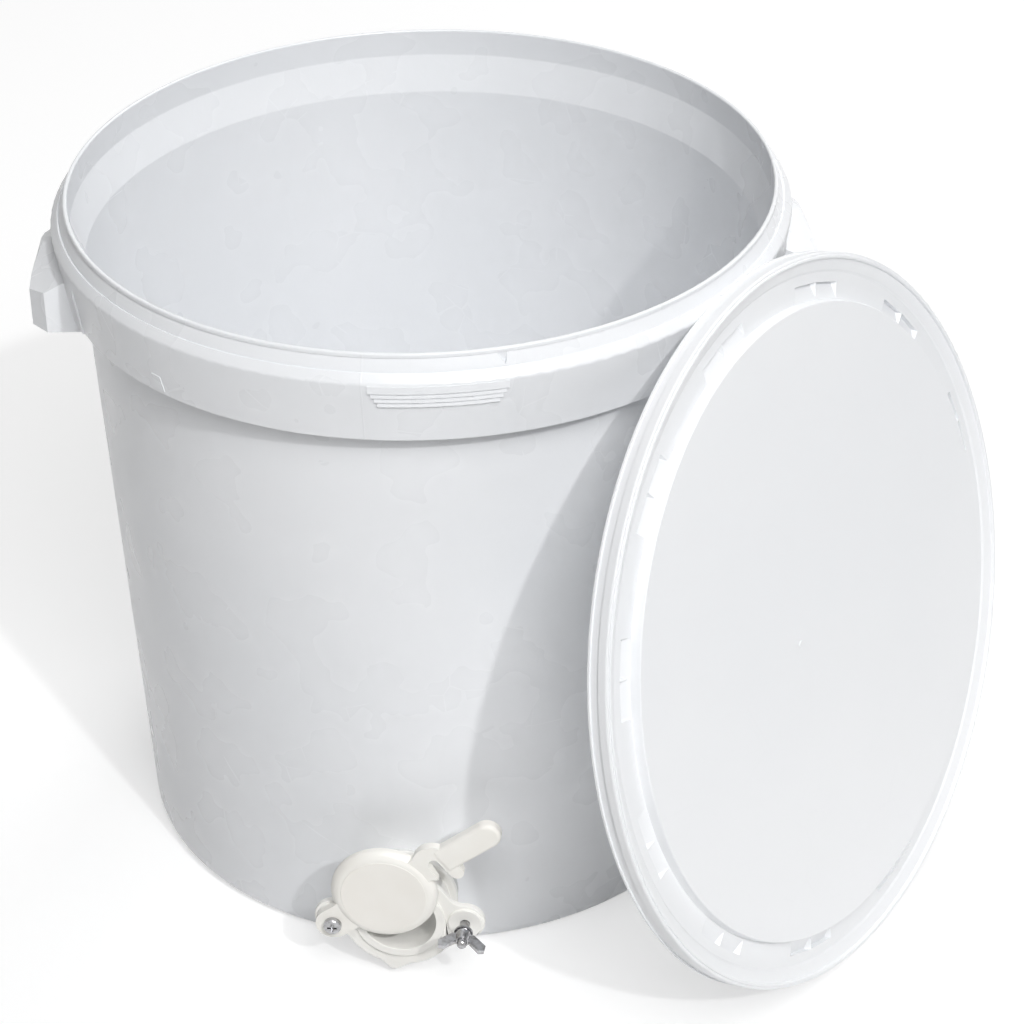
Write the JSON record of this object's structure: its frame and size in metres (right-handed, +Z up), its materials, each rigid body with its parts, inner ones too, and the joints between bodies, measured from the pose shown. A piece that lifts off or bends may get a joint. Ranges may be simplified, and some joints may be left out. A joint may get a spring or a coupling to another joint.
{
  "type": "fermenting bucket",
  "caption": "Tapered plastic fermenting bucket with a rim skirt, moulded side grips, a swinging outlet gate low on the wall and a loose lid with a raised panel leaning on its side",
  "frame": {"origin": "centre of the bucket's flat base", "axes": "+Z up, the outlet gate on the -Y side, +X to the right seen from the gate"},
  "size_m": [0.5034, 0.4699, 0.372],
  "materials": {
    "white_plastic": "smooth moulded polypropylene",
    "lid_plastic": "smooth moulded polypropylene",
    "cream_plastic": "moulded, slightly waxy",
    "blade_plastic": "moulded, slightly waxy",
    "gasket_rubber": "soft rubber, inferred",
    "bright_steel": "bright plated steel"
  },
  "bodies": {
    "bucket": {"bucket": "white_plastic", "gate_body": "cream_plastic", "outer_gasket": "gasket_rubber", "inner_gasket": "gasket_rubber", "lock_nut": "cream_plastic", "pivot_screw": "bright_steel", "pivot_nut": "bright_steel", "clamp_bolt": "bright_steel"},
    "blade": {"gate_blade": "blade_plastic"},
    "clamp_carrier": {"clamp_washer": "bright_steel"},
    "wing": {"wing_nut": "bright_steel"},
    "lid": {"lid": "lid_plastic"}
  },
  "joints": [
    {"name": "blade_swing", "type": "hinge", "parent": "bucket", "child": "blade", "pos_m": [-0.0341, -0.18986, 0.0384], "axis": [0, -1, 0], "range_deg": [-36.9, 73.1]},
    {"name": "nut_travel", "type": "slide", "parent": "bucket", "child": "clamp_carrier", "axis": [0, -1, 0], "range_m": [-0.0016, 0.0073]},
    {"name": "nut_spin", "type": "hinge", "parent": "clamp_carrier", "child": "wing", "pos_m": [0.0341, -0.18986, 0.0384], "axis": [0, -1, 0], "range_deg": [-718, 3280]},
    {"name": "lid_lift", "type": "slide", "parent": "bucket", "child": "lid", "axis": [0.6197, -0.3407, 0.7071], "range_m": [0, 0.2]}
  ],
  "couplings": [
    {"joint": "nut_travel", "follows": "nut_spin", "m_per_rad": 0.00012732}
  ]
}
